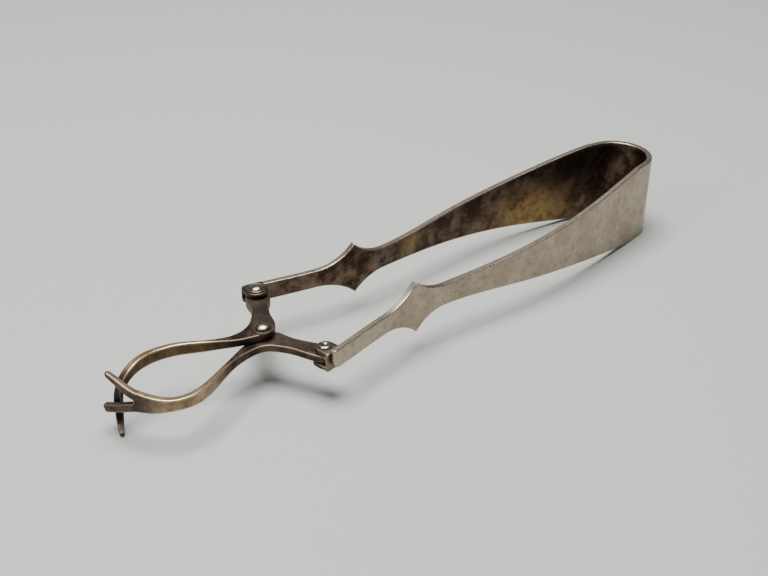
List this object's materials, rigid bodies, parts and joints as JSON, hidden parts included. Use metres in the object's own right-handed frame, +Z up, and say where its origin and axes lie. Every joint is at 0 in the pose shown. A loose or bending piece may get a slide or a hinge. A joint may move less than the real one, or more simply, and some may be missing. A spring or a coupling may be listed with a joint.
{
  "type": "claw ice tongs",
  "caption": "Spring-bow ice tongs whose arms are squeezed to open riveted claw jaws, a forked jaw and a single claw.",
  "frame": {"origin": "centre of the bounding box in plan, at the height of the bow's lower rim", "axes": "+X from the claws to the bow, +Y to the far arm that holds the upper lever, +Z up, across the strip's width"},
  "size_m": [0.1525, 0.0336, 0.0206],
  "materials": {
    "silver_strip": "worn silver, warm tarnish, fine pits, bright edges",
    "silver_dark": "silver with heavy brown tarnish, bright edges",
    "silver_bright": "polished silver rivet heads, tarnish at the rim"
  },
  "bodies": {
    "bow": {"bow_spring": "silver_strip"},
    "far_side": {"far_arm": "silver_strip", "far_knuckle": "silver_dark", "far_pin": "silver_bright"},
    "near_side": {"near_arm": "silver_strip", "near_knuckle": "silver_dark", "near_pin": "silver_bright"},
    "upper_jaw": {"upper_lever": "silver_dark", "centre_rivet": "silver_bright", "top_washer": "silver_dark", "bottom_washer": "silver_dark"},
    "lower_jaw": {"lower_lever": "silver_dark"}
  },
  "joints": [
    {"name": "far_squeeze", "type": "hinge", "parent": "bow", "child": "far_side", "pos_m": [0.05555, 0.01055, 0.0103], "axis": [0, 0, 1], "range_deg": [0, 3], "stiffness_Nm_per_rad": 4},
    {"name": "near_squeeze", "type": "hinge", "parent": "bow", "child": "near_side", "pos_m": [0.05555, -0.01055, 0.0103], "axis": [0, 0, 1], "range_deg": [-3, 0], "stiffness_Nm_per_rad": 4},
    {"name": "upper_jaw_turn", "type": "hinge", "parent": "far_side", "child": "upper_jaw", "pos_m": [-0.03475, 0.0126, 0.0112], "axis": [0, 0, 1], "range_deg": [-33, 0]},
    {"name": "lower_jaw_turn", "type": "hinge", "parent": "near_side", "child": "lower_jaw", "pos_m": [-0.03475, -0.0126, 0.0094], "axis": [0, 0, 1], "range_deg": [0, 33]}
  ],
  "couplings": [
    {"joint": "near_squeeze", "follows": "far_squeeze", "ratio": -1},
    {"joint": "upper_jaw_turn", "follows": "far_squeeze", "ratio": -10.9},
    {"joint": "lower_jaw_turn", "follows": "far_squeeze", "ratio": 10.9}
  ]
}
